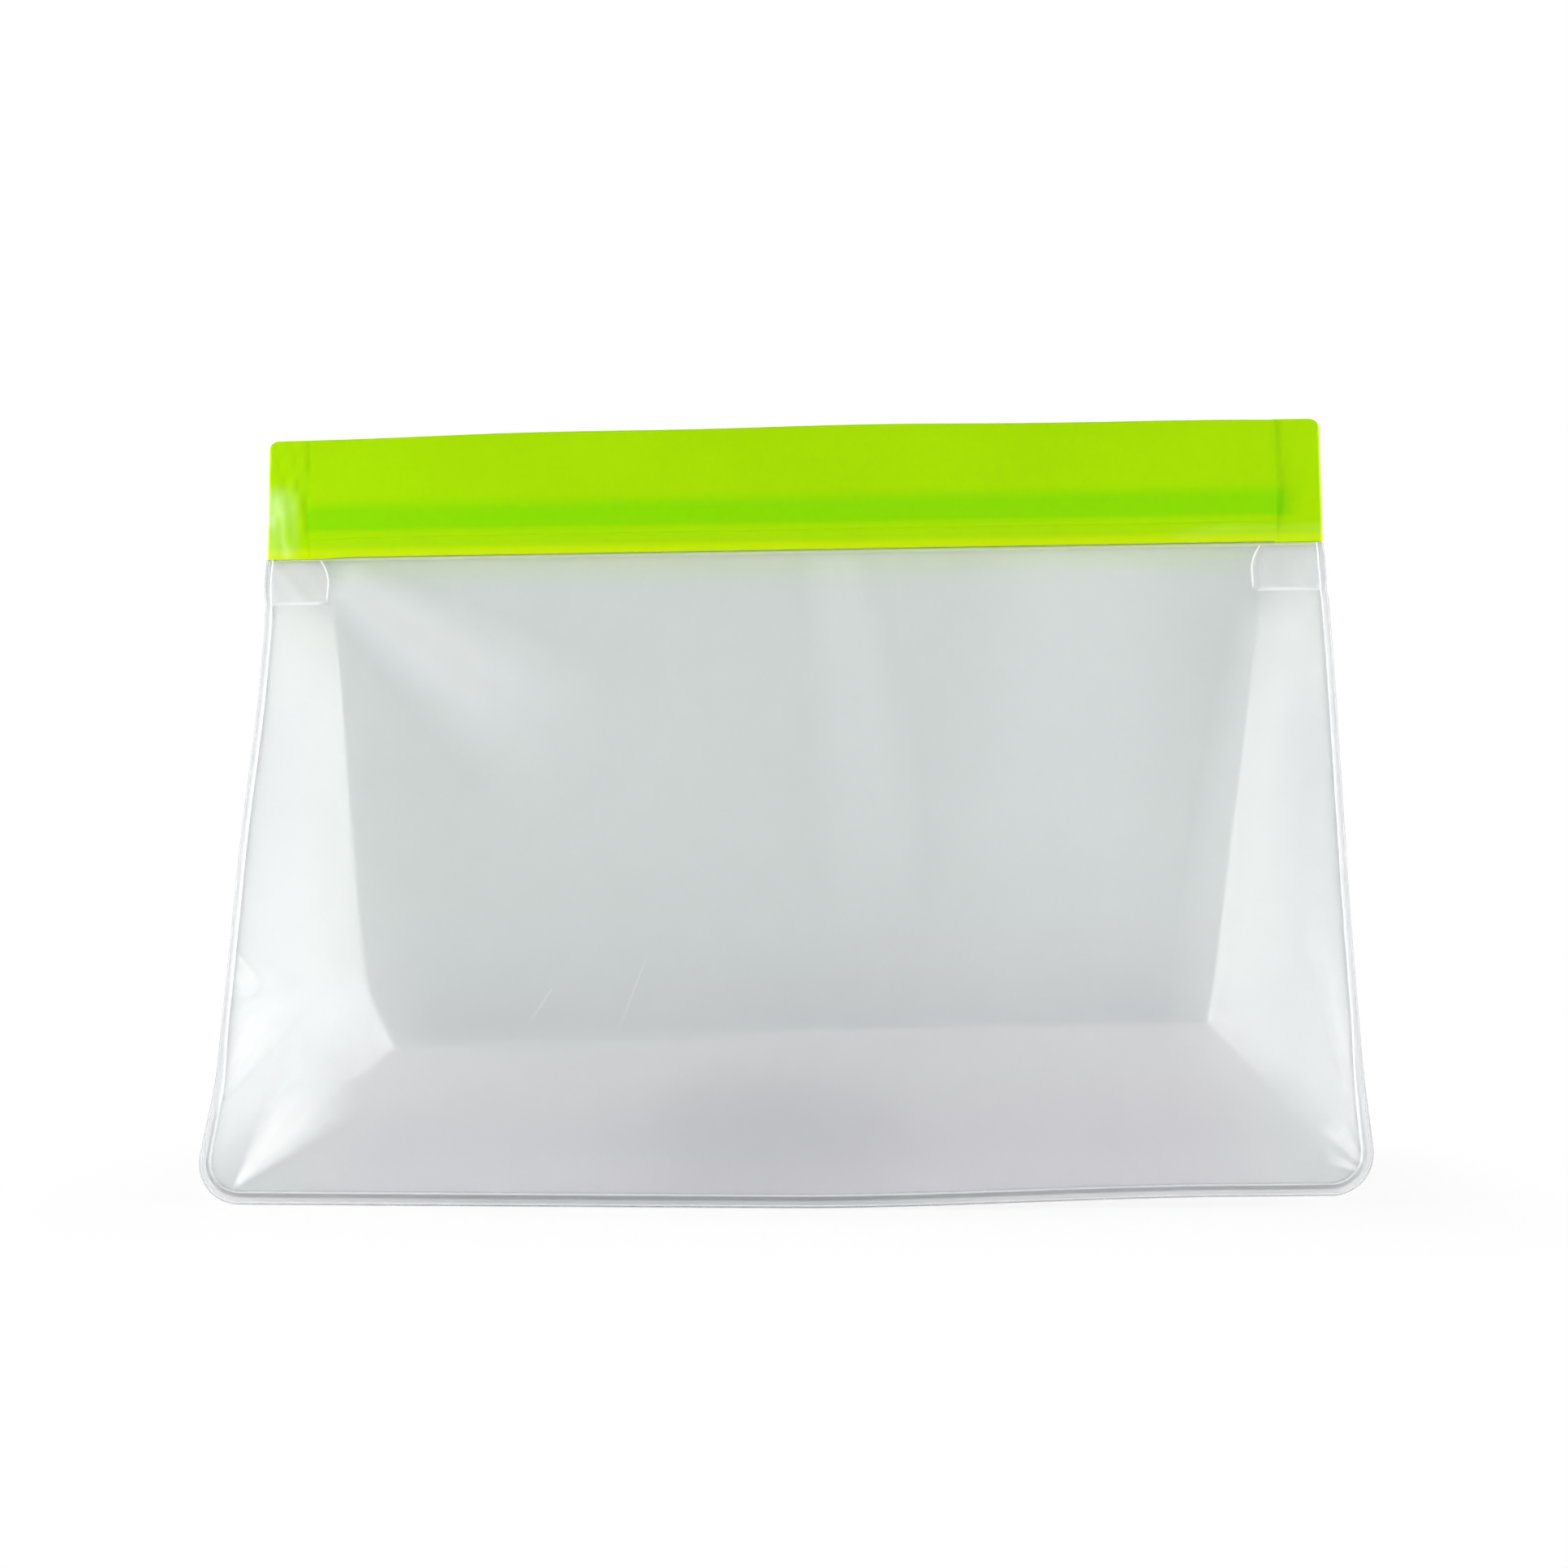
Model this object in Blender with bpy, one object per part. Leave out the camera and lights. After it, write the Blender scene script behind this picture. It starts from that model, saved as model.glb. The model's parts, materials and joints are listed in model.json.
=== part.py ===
"""Reusable film food bag with a press-to-close zip and a gusset round its sides and base.

The bag stands as a wedge: two walls lean together under the zip and open towards the floor.
Each wall is a film panel inside a U of weld seams. The gusset film is folded inwards along its
middle crease, so every side of it is a front half and a back half, hinged on the seams.

Metres, +Z up, front wall facing -Y, floor at Z = 0, zip in the plane Y = 0.
"""

from math import atan2, cos, hypot, pi, radians, sin, tan

import bpy
from mathutils import Matrix, Vector

MM = 0.001

# Zip band
ZIP_WIDTH = 210 * MM
ZIP_HEIGHT = 24 * MM
STRIP_THICKNESS = 0.8 * MM
STRIP_GAP = 2.4 * MM
END_WELD_WIDTH = 9 * MM
END_WELD_THICKNESS = 3.2 * MM

# Press tracks inside the zip band
TRACK_CENTRE = 10.8 * MM
TRACK_PITCH = 3.3 * MM
RAIL_HEIGHT = 1.1 * MM
TRACK_CLEARANCE = 0.45 * MM
RIB_HEIGHT = TRACK_PITCH - RAIL_HEIGHT - 2 * TRACK_CLEARANCE
TRACK_REACH = STRIP_GAP - TRACK_CLEARANCE

# Walls
WALL_HEIGHT = 123 * MM
BASE_WIDTH = 215 * MM
BASE_DEPTH = 40 * MM
WALL_GAP = 2.9 * MM
FILM = 0.5 * MM
BELLY = 3 * MM
SEAM_WIDTH = 1.8 * MM
SEAM_THICKNESS = 1.0 * MM
CORNER_RADIUS = 6 * MM

# Welded patches that close the top of the side gussets
PATCH_WIDTH = 12.6 * MM
PATCH_HEIGHT = 9 * MM
PATCH_THICKNESS = 1.2 * MM

# Gusset
GUSSET_FILM = 0.4 * MM
CREASE_HALF_WIDTH = 80 * MM
CREASE_HEIGHT = 27 * MM
CREASE_TRIM = 1.3 * MM
MITRE_TRIM = radians(5.2)

CLEARANCE = 0.3 * MM
ARC_STEPS = 8
PANEL_STEPS = 8

# Lean of the walls and what follows from it
WALL_OFFSET = WALL_GAP / 2
LEAN = atan2(BASE_DEPTH / 2 - WALL_OFFSET, WALL_HEIGHT)
WALL_LENGTH = (WALL_HEIGHT + WALL_OFFSET * sin(LEAN)) / cos(LEAN)
FLARE = atan2((BASE_WIDTH - ZIP_WIDTH) / 2, WALL_LENGTH)
SEAM_INSET = SEAM_WIDTH + CLEARANCE
HINGE_DROP = WALL_LENGTH - SEAM_INSET
FOLDED_GAP = (WALL_GAP - FILM - 2 * GUSSET_FILM) / 3
GUSSET_OFFSET = (FOLDED_GAP + GUSSET_FILM) / 2

FILM_CLEAR = (0.83, 0.86, 0.87, 1.0)
FILM_SEAM = (0.9, 0.92, 0.93, 1.0)
ZIP_GREEN = (0.37, 0.75, 0.0, 1.0)
FILM_ROUGHNESS = 0.4
ZIP_ROUGHNESS = 0.3


def half_width(drop):
    """Half the width across a wall at a distance down from the zip."""
    return ZIP_WIDTH / 2 + drop * tan(FLARE)


def clear_scene():
    for obj in list(bpy.data.objects):
        bpy.data.objects.remove(obj, do_unlink=True)


def material(name, colour, roughness):
    mat = bpy.data.materials.new(name)
    mat.use_nodes = True
    shader = mat.node_tree.nodes["Principled BSDF"]
    shader.inputs["Base Color"].default_value = colour
    shader.inputs["Roughness"].default_value = roughness
    shader.inputs["Metallic"].default_value = 0.0
    return mat


def collection(name):
    group = bpy.data.collections.new(name)
    bpy.context.scene.collection.children.link(group)
    return group


def empty(name, parent, placing, group):
    obj = bpy.data.objects.new(name, None)
    obj.parent = parent
    obj.matrix_local = placing
    group.objects.link(obj)
    return obj


def plate(name, outline, thickness, mat, parent, placing, group):
    """A flat outline in its own XY plane, with half the thickness on each side of it."""
    curve = bpy.data.curves.new(name, "CURVE")
    curve.dimensions = "2D"
    curve.fill_mode = "BOTH"
    curve.extrude = thickness / 2
    spline = curve.splines.new("POLY")
    spline.points.add(len(outline) - 1)
    for point, (x, y) in zip(spline.points, outline):
        point.co = (x, y, 0.0, 1.0)
    spline.use_cyclic_u = True
    curve.materials.append(mat)
    obj = bpy.data.objects.new(name, curve)
    obj.parent = parent
    obj.matrix_local = placing
    group.objects.link(obj)
    return obj


def arc(centre, radius, start, end):
    """Points along an arc, both ends included, with angles in radians."""
    turn = (end - start) / ARC_STEPS
    angles = [start + turn * step for step in range(ARC_STEPS + 1)]
    return [(centre[0] + radius * cos(a), centre[1] + radius * sin(a)) for a in angles]


def mirrored(points):
    """The same outline on the other side of X = 0, still running the same way round."""
    return [(-x, y) for x, y in reversed(points)]


def standing(offset=0.0):
    """Stands an outline up in a wall's own X-Z plane, offset towards the inside of the bag."""
    return Matrix.Translation((0, offset, 0)) @ Matrix.Rotation(pi / 2, 4, "X")


def profile_along_x():
    """Turns an outline of (y, z) points so that its thickness runs along X."""
    return Matrix(((0, 0, 1), (1, 0, 0), (0, 1, 0))).to_4x4()


def box_outline(low, high):
    return [(low[0], low[1]), (high[0], low[1]), (high[0], high[1]), (low[0], high[1])]


def wall_frame(turn):
    """Frame of a wall: origin on the fold axis, Z up along the film and Y into the bag."""
    lift = Matrix.Translation((0, 0, WALL_HEIGHT))
    return lift @ Matrix.Rotation(turn, 4, "Z") @ Matrix.Rotation(-LEAN, 4, "X")


def panel_edge():
    """Right edge of a film panel inside its seams, from the base hinge up to below the patch."""
    radius = CORNER_RADIUS - SEAM_INSET
    foot = half_width(HINGE_DROP) - SEAM_INSET - radius
    edge = arc((foot, radius), radius, -pi / 2, -FLARE)
    low = Vector(edge[-1])
    shoulder_drop = PATCH_HEIGHT + CLEARANCE
    high = Vector((half_width(shoulder_drop) - SEAM_INSET, HINGE_DROP - shoulder_drop))
    for step in range(1, PANEL_STEPS + 1):
        edge.append(tuple(low.lerp(high, step / PANEL_STEPS)))
    return edge


def panel_grid():
    """Middle surface of a film panel, swollen outwards between its seams and notched round the patches."""
    edge = panel_edge()
    shoulder = edge[-1][0]
    neck = (ZIP_WIDTH / 2 - PATCH_WIDTH - CLEARANCE) / shoulder
    columns = [neck * (2 * step / PANEL_STEPS - 1) for step in range(PANEL_STEPS + 1)]
    columns = [-1.0] + columns + [1.0]
    rows = edge + [(shoulder, HINGE_DROP - CLEARANCE / 2)]
    points = []
    for half, height in rows:
        swell = BELLY * sin(pi * height / HINGE_DROP)
        points += [(half * across, height, swell * (1 - across**2)) for across in columns]
    wide = len(columns)
    faces = []
    for row in range(len(rows) - 1):
        skip = 1 if row == len(rows) - 2 else 0
        for column in range(skip, wide - 1 - skip):
            low = row * wide + column
            faces.append((low, low + 1, low + 1 + wide, low + wide))
    return points, faces


def shell(name, points, faces, thickness, mat, parent, placing, group):
    """A surface over its own XY plane, with half the thickness on each side of it."""
    kept = sorted({corner for face in faces for corner in face})
    number = {corner: place for place, corner in enumerate(kept)}
    upper = [tuple(number[corner] for corner in face) for face in faces]
    sides = {(face[k - 1], face[k]) for face in upper for k in range(len(face))}
    count = len(kept)
    lower = [tuple(count + corner for corner in reversed(face)) for face in upper]
    rim = [(b, a, count + a, count + b) for a, b in sides if (b, a) not in sides]
    corners = []
    for lift in (thickness / 2, -thickness / 2):
        corners += [(points[k][0], points[k][1], points[k][2] + lift) for k in kept]
    mesh = bpy.data.meshes.new(name)
    mesh.from_pydata(corners, [], upper + lower + sorted(rim))
    mesh.materials.append(mat)
    obj = bpy.data.objects.new(name, mesh)
    obj.parent = parent
    obj.matrix_local = placing
    group.objects.link(obj)
    return obj


def side_seam_outline():
    """Right side seam, from below its patch to where its bottom corner meets the base seam."""
    top = PATCH_HEIGHT + CLEARANCE
    foot = WALL_LENGTH - SEAM_THICKNESS * sin(LEAN)
    centre = (half_width(foot) - CORNER_RADIUS, -foot + CORNER_RADIUS)
    outer = arc(centre, CORNER_RADIUS, -pi / 2, -FLARE)
    inner = arc(centre, CORNER_RADIUS - SEAM_WIDTH, -FLARE, -pi / 2)
    outer_top = (half_width(top), -top)
    inner_top = (half_width(top) - SEAM_WIDTH, -top)
    return outer + [outer_top, inner_top] + inner


def base_seam_profile():
    """Base seam across its length, leaning with the wall and cut flat on the floor."""
    half = SEAM_THICKNESS / 2
    tilt = half * tan(LEAN)
    bottom = -WALL_LENGTH
    top = bottom + SEAM_WIDTH
    return [(-half, bottom - tilt), (half, bottom + tilt), (half, top), (-half, top)]


def crease_corner():
    """Where the right side crease meets the base crease, in the wall's frame."""
    fall = WALL_HEIGHT - CREASE_HEIGHT
    return Vector((CREASE_HALF_WIDTH, fall * sin(LEAN), -fall * cos(LEAN)))


def side_half():
    """Tilt of a side gusset half and its outline: x down its hinge, y across to the crease."""
    along = Vector((sin(FLARE), 0, -cos(FLARE)))
    flat = Vector((-cos(FLARE), 0, -sin(FLARE)))
    out = crease_corner() - Vector((ZIP_WIDTH / 2 - SEAM_INSET, 0, 0))
    down = out.dot(along)
    span = out.dot(flat)
    tilt = atan2(out.y, span)
    across = hypot(span, out.y)
    corner = HINGE_DROP / cos(FLARE)
    spread = across / down
    mitre = tan(atan2(across, corner - down) - MITRE_TRIM)
    top = (PATCH_HEIGHT + CLEARANCE) / cos(FLARE)
    foot = corner - CORNER_RADIUS
    meet = (corner * mitre + CREASE_TRIM) / (spread + mitre)
    outline = [(top, CLEARANCE), (foot, CLEARANCE), (foot, (corner - foot) * mitre)]
    outline += [(meet, meet * spread - CREASE_TRIM), (top, top * spread - CREASE_TRIM)]
    return tilt, outline


def base_half():
    """Tilt of a base gusset half and its outline: x along its hinge, y across to the crease."""
    crease = crease_corner()
    corner = half_width(HINGE_DROP) - SEAM_INSET
    run = HINGE_DROP + crease.z
    tilt = atan2(crease.y, run)
    across = hypot(run, crease.y)
    mitre = tan(atan2(across, corner - CREASE_HALF_WIDTH) - MITRE_TRIM)
    foot = corner - CORNER_RADIUS
    reach = across - CREASE_TRIM
    right = [(foot, CLEARANCE), (foot, CORNER_RADIUS * mitre), (corner - reach / mitre, reach)]
    return tilt, right + mirrored(right)


def hinged(origin, along, across):
    """Placing for a gusset half: local X along the hinge, local Y across the film."""
    normal = along.cross(across)
    turn = Matrix((along, across, normal)).transposed().to_4x4()
    return Matrix.Translation(origin) @ turn


def build_wall(side, frame, film, seam, group):
    """One wall: film panel, weld seams and the gusset halves hinged on them."""
    at_base = Matrix.Translation((0, -WALL_OFFSET, -HINGE_DROP))
    base_hinge = empty(f"{side}_base_hinge", frame, at_base, group)
    shell(f"{side}_panel", *panel_grid(), FILM, film, base_hinge, standing(), group)
    on_wall = standing(-WALL_OFFSET)
    facing = 1 if side == "front" else -1
    for hand in (1, -1):
        name = "right" if hand * facing > 0 else "left"
        outline = side_seam_outline()
        plate(
            f"{side}_{name}_seam",
            outline if hand > 0 else mirrored(outline),
            SEAM_THICKNESS,
            seam,
            frame,
            on_wall,
            group,
        )
    run = 2 * (half_width(WALL_LENGTH) - CORNER_RADIUS - CLEARANCE)
    lay = Matrix.Translation((0, -WALL_OFFSET, 0)) @ profile_along_x()
    plate(f"{side}_base_seam", base_seam_profile(), run, seam, frame, lay, group)
    build_gusset_halves(side, facing, frame, film, group)


def build_gusset_halves(side, facing, frame, film, group):
    side_tilt, side_outline = side_half()
    base_tilt, base_outline = base_half()
    inward = Vector((0, 1, 0))
    for hand in (1, -1):
        name = "right" if hand * facing > 0 else "left"
        along = Vector((hand * sin(FLARE), 0, -cos(FLARE)))
        flat = Vector((-hand * cos(FLARE), 0, -sin(FLARE)))
        across = flat * cos(side_tilt) + inward * sin(side_tilt)
        top = Vector((hand * (ZIP_WIDTH / 2 - SEAM_INSET), -GUSSET_OFFSET, 0))
        placing = hinged(top, along, across)
        plate(f"{side}_{name}_gusset", side_outline, GUSSET_FILM, film, frame, placing, group)
    across = Vector((0, sin(base_tilt), cos(base_tilt)))
    placing = hinged(Vector((0, -GUSSET_OFFSET, -HINGE_DROP)), Vector((1, 0, 0)), across)
    plate(f"{side}_base_gusset", base_outline, GUSSET_FILM, film, frame, placing, group)


def strip_profile(facing, blocks):
    """A zip strip across its length: a flat band with track blocks (centre, height) inside."""
    inner = STRIP_GAP / 2
    outer = inner + STRIP_THICKNESS
    points = [(-outer, CLEARANCE / 2), (-inner, CLEARANCE / 2)]
    tip = TRACK_REACH - inner
    for centre, height in blocks:
        low = centre - height / 2
        high = centre + height / 2
        points += [(-inner, low), (tip, low), (tip, high), (-inner, high)]
    points += [(-inner, ZIP_HEIGHT), (-outer, ZIP_HEIGHT)]
    if facing > 0:
        return points
    return [(-y, z) for y, z in reversed(points)]


def build_zip(green, group):
    """Front strip with two ribs, back strip with three rails, and the welded ends."""
    length = ZIP_WIDTH - 2 * END_WELD_WIDTH - 2 * CLEARANCE
    ribs = [(TRACK_CENTRE + TRACK_PITCH * k / 2, RIB_HEIGHT) for k in (-1, 1)]
    rails = [(TRACK_CENTRE + TRACK_PITCH * k, RAIL_HEIGHT) for k in (-1, 0, 1)]
    at_zip = Matrix.Translation((0, 0, WALL_HEIGHT)) @ profile_along_x()
    hinge_place = Matrix.Translation(wall_frame(0.0) @ Vector((0, -WALL_OFFSET, -HINGE_DROP)))
    mouth_hinge = empty("mouth_hinge", None, hinge_place, group)
    on_hinge = hinge_place.inverted() @ at_zip
    plate("front_zip_strip", strip_profile(1, ribs), length, green, mouth_hinge, on_hinge, group)
    plate("back_zip_strip", strip_profile(-1, rails), length, green, None, at_zip, group)
    for name, hand in (("left", -1), ("right", 1)):
        low = (-END_WELD_WIDTH / 2, WALL_HEIGHT + CLEARANCE / 2)
        high = (END_WELD_WIDTH / 2, WALL_HEIGHT + ZIP_HEIGHT)
        at = Matrix.Translation((hand * (ZIP_WIDTH - END_WELD_WIDTH) / 2, 0, 0)) @ standing()
        plate(f"{name}_end_weld", box_outline(low, high), END_WELD_THICKNESS, green, None, at, group)


def build_patches(back, seam, group):
    """Gusset patches, leaning with the back wall so that the front wall can fold flat over them."""
    for name, hand in (("left", 1), ("right", -1)):
        low = (-PATCH_WIDTH / 2, -PATCH_HEIGHT)
        high = (PATCH_WIDTH / 2, -CLEARANCE / 2)
        at = Matrix.Translation((hand * (ZIP_WIDTH - PATCH_WIDTH) / 2, 0, 0)) @ standing()
        plate(f"{name}_gusset_patch", box_outline(low, high), PATCH_THICKNESS, seam, back, at, group)


def main():
    clear_scene()
    group = collection("reusable_film_bag")
    film = material("clear_film", FILM_CLEAR, FILM_ROUGHNESS)
    seam = material("welded_film", FILM_SEAM, FILM_ROUGHNESS)
    green = material("zip_green", ZIP_GREEN, ZIP_ROUGHNESS)
    for side, turn in (("front", 0.0), ("back", pi)):
        frame = empty(f"{side}_wall", None, wall_frame(turn), group)
        build_wall(side, frame, film, seam, group)
    build_zip(green, group)
    build_patches(frame, seam, group)


main()
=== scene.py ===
"""Looks of a welded film bag with a press-to-close zip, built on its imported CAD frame.

The film walls, the folded gusset, the weld rims and the zip are lofted shells in metres, in the
frame of the CAD: the zip lies along X, the front wall faces -Y and the floor is at Z = 0.
"""

import json
from math import atan2, cos, pi, radians, sin, sqrt, tan, tau

import bpy
from bpy.props import FloatProperty, FloatVectorProperty, PointerProperty
from bpy.types import Operator, Panel, PropertyGroup
from mathutils import Matrix, Vector


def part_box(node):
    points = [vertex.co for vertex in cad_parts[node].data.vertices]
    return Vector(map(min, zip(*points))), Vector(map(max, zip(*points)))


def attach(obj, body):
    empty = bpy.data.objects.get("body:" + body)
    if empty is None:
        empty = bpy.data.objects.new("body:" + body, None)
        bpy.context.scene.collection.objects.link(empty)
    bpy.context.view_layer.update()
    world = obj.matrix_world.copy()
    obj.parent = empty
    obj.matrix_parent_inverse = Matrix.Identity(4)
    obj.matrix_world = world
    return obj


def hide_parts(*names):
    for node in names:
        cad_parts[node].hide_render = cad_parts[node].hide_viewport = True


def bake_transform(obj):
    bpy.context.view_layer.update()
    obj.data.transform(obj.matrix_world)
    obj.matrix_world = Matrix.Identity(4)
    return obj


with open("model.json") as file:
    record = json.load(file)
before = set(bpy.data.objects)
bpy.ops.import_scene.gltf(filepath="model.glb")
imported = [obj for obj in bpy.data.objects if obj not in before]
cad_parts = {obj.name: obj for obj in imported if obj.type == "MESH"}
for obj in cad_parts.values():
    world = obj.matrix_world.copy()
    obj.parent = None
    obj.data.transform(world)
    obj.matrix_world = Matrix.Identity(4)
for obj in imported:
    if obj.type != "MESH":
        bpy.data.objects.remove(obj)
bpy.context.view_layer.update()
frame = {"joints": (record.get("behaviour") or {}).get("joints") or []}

bl_info = {
    "name": "Reusable Film Bag",
    "version": (1, 0, 0),
    "blender": (4, 5, 0),
    "location": "3D View > Sidebar > Film Bag",
    "description": "Builds a welded film bag with a press-to-close zip on its CAD frame",
    "category": "Object",
}

MM = 0.001
JOINTS = {joint["name"]: joint for joint in frame["joints"]}

# Where the two walls meet under the zip, and how they lean away from each other
FOLD_Z = JOINTS["fold_flat"]["pos_m"][2]
LEAN = radians(-JOINTS["fold_flat"]["range_deg"][0]) / 2
HINGE_Y, HINGE_Z = JOINTS["mouth_open"]["pos_m"][1:]
WALL_OFFSET = -HINGE_Y * cos(LEAN) - (FOLD_Z - HINGE_Z) * sin(LEAN)
WALL_LENGTH = (FOLD_Z + WALL_OFFSET * sin(LEAN)) / cos(LEAN)

# Reach of the CAD nodes that the pieces keep to
STRIP_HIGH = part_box("front_zip_strip")[1]
STRIP_HALF = STRIP_HIGH.x
STRIP_HEIGHT = STRIP_HIGH.z - FOLD_Z
ZIP_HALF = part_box("right_end_weld")[1].x
PATCH_DROP = FOLD_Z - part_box("right_gusset_patch")[0].z

# How far the base seams rise towards the right
BASE_LIFT = 1.9 * MM

# Drop of a film wall's upper edge, which is tucked under the zip
FILM_TOP = -1.4 * MM

# Share of the rim's width that lies outside the edge of the film
FILM_INSET = 0.55

# Marks and painted highlights in the front film: start and end (x, z), width at the start, further width
# at the end, strength. All but the strength are in millimetres.
FILM_MARKS_AND_HIGHLIGHTS = (
    # Painted highlights on the creased film at the bottom corners and the sides
    ((-99.6, 3.0), (-82, 25), 0.5, 12.0, 0.75),
    ((-104.8, 17), (-94, 42), 0.8, 9.0, 0.5),
    ((104.4, 5.6), (96, 9.2), 0.35, 1.6, 0.4),
    ((104.8, 6.2), (97, 16), 0.4, 3.2, 0.5),
    ((104.8, 6.0), (100.5, 54), 0.9, 5.5, 0.35),
    ((-105.2, 46), (-98, 34), 0.8, 4.5, 0.4),
    # Wide faint painted highlights
    ((-91, 120), (-32, 78), 6.0, 17.0, 0.15),
    ((60, 126), (46, 6), 24.0, 14.0, 0.07),
    ((96, 112), (74, 10), 8.0, 10.0, 0.08),
    ((10, 125), (22, 30), 8.0, 8.0, 0.05),
    # Scratches
    ((15.2, 115.5), (17, 109), 0.2, 0.3, 0.05),
    ((-42.4, 38.6), (-47, 31.5), 0.2, 0.3, 0.055),
    ((-25, 44), (-30.5, 29), 0.2, 0.3, 0.035),
)


def smooth(value, low=0.0, high=1.0):
    """Eases from 0 at low to 1 at high."""
    share = min(max((value - low) / (high - low), 0.0), 1.0)
    return share * share * (3 - 2 * share)


def lerp(start, end, share):
    """The value a share of the way from start to end."""
    return start + (end - start) * share


class BagSizes(PropertyGroup):
    """Sizes of the film, the welds and the zip."""

    film: FloatProperty(
        name="Film", description="Thickness of the film", default=0.25 * MM, unit="LENGTH"
    )
    belly: FloatProperty(
        name="Belly", description="How far a wall swells outwards", default=2.6 * MM, unit="LENGTH"
    )
    base_bow: FloatProperty(
        name="Base bow",
        description="How far the middle of a base seam stands out",
        default=3.5 * MM,
        unit="LENGTH",
    )
    corner_push: FloatVectorProperty(
        name="Corner push",
        description="How far the left and the right bottom corner stand out",
        default=(3.0 * MM, -0.6 * MM),
        size=2,
        unit="LENGTH",
    )
    corner_kick: FloatProperty(
        name="Corner kick",
        description="How far the bottom corners flare outwards",
        default=1.2 * MM,
        unit="LENGTH",
    )
    corner_radius: FloatProperty(
        name="Corner radius",
        description="Radius of the bottom corners",
        default=8.5 * MM,
        unit="LENGTH",
    )
    rim: FloatProperty(
        name="Rim width", description="Width of the welded rim", default=2.4 * MM, unit="LENGTH"
    )
    rim_thickness: FloatProperty(
        name="Rim thickness",
        description="Thickness of the welded rim",
        default=0.55 * MM,
        unit="LENGTH",
    )
    zip_reach: FloatProperty(
        name="Zip reach",
        description="How much further the zip reaches on the right",
        default=1.1 * MM,
        unit="LENGTH",
    )
    strip: FloatProperty(
        name="Zip strip", description="Thickness of a zip strip", default=0.8 * MM, unit="LENGTH"
    )


class BagColours(PropertyGroup):
    """Colours of the film and the zip."""

    film: FloatVectorProperty(
        name="Film",
        description="Tint of the frosted film",
        default=(0.893, 0.927, 0.92),
        subtype="COLOR",
        size=3,
        min=0,
        max=1,
    )
    weld: FloatVectorProperty(
        name="Weld",
        description="Tint of the fused film",
        default=(0.80, 0.815, 0.825),
        subtype="COLOR",
        size=3,
        min=0,
        max=1,
    )
    zip: FloatVectorProperty(
        name="Zip",
        description="Lime green of the zip strips",
        default=(0.364, 0.692, 0.0),
        subtype="COLOR",
        size=3,
        min=0,
        max=1,
    )
    track: FloatVectorProperty(
        name="Track",
        description="Deeper green where the press tracks lie behind the strip",
        default=(0.238, 0.652, 0.0),
        subtype="COLOR",
        size=3,
        min=0,
        max=1,
    )
    edge: FloatVectorProperty(
        name="Lower edge",
        description="Yellower green of the thin lower edge",
        default=(0.52, 0.74, 0.0),
        subtype="COLOR",
        size=3,
        min=0,
        max=1,
    )


class Value:
    """A socket of a shader tree that takes part in Python sums."""

    def __init__(self, tree, socket=None):
        self.tree = tree
        self.socket = socket

    def node(self, kind, settings=None, inputs=None, output=0):
        """Adds a node, with numbers or values on its inputs, and gives one of its outputs."""
        made = self.tree.nodes.new(kind)
        for name, value in (settings or {}).items():
            setattr(made, name, value)
        for name, value in (inputs or {}).items():
            if isinstance(value, Value):
                self.tree.links.new(value.socket, made.inputs[name])
            else:
                made.inputs[name].default_value = value
        return Value(self.tree, made.outputs[output] if made.outputs else None)

    def math(self, operation, *others):
        sockets = dict(enumerate((self, *others)))
        return self.node("ShaderNodeMath", {"operation": operation}, sockets)

    def __add__(self, other):
        return self.math("ADD", other)

    __radd__ = __add__

    def __sub__(self, other):
        return self.math("SUBTRACT", other)

    def __rsub__(self, other):
        return self * -1 + other

    def __mul__(self, other):
        return self.math("MULTIPLY", other)

    __rmul__ = __mul__

    def __truediv__(self, other):
        return self.math("DIVIDE", other)

    def size(self):
        return self.math("ABSOLUTE")

    def most(self, other):
        return self.math("MAXIMUM", other)

    def eased(self, low, high):
        """Eases from 0 at low to 1 at high."""
        return self.node(
            "ShaderNodeMapRange",
            {"interpolation_type": "SMOOTHSTEP"},
            {0: self, 1: low, 2: high, 3: 0.0, 4: 1.0},
        )

    def colour(self, first, second):
        """Mixes two colours, with this value as the share of the second."""
        return self.node("ShaderNodeMix", {"data_type": "RGBA"}, {0: self, 6: first, 7: second}, 2)


def opaque(colour):
    """A colour of three shares as one of four."""
    return (*colour, 1.0)


def new_material(name):
    """A bare material, a starting value of its tree and its Object coordinates."""
    material = bpy.data.materials.new(name)
    material.use_nodes = True
    tree = material.node_tree
    tree.nodes.clear()
    start = Value(tree)
    place = start.node("ShaderNodeTexCoord", output=3)
    return material, start, place


def split(place):
    """The three coordinates of a place as values."""
    node = place.node("ShaderNodeSeparateXYZ", inputs={0: place}).socket.node
    return [Value(place.tree, socket) for socket in node.outputs]


def noise(place, scale, detail=2.0, stretch=(1, 1, 1)):
    """Noise round 0.5, with scale bumps to the metre, times stretch along each axis."""
    stretched = place.node("ShaderNodeMapping", inputs={0: place, 3: stretch})
    sockets = {"Vector": stretched, "Scale": scale, "Detail": detail}
    return place.node("ShaderNodeTexNoise", inputs=sockets)


def bump(height, distance, strength=1.0):
    """A normal that follows a height."""
    sockets = {"Height": height, "Distance": distance, "Strength": strength}
    return height.node("ShaderNodeBump", inputs=sockets)


def shader(start, **sockets):
    """A Principled shader, with sockets named in lower case and underscores."""
    named = {name.replace("_", " ").title(): value for name, value in sockets.items()}
    named = {name.replace("Ior", "IOR"): value for name, value in named.items()}
    return start.node("ShaderNodeBsdfPrincipled", inputs=named)


def translucent(start, colour):
    """A shader that scatters light through a sheet."""
    return start.node("ShaderNodeBsdfTranslucent", inputs={0: opaque(colour)})


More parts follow.
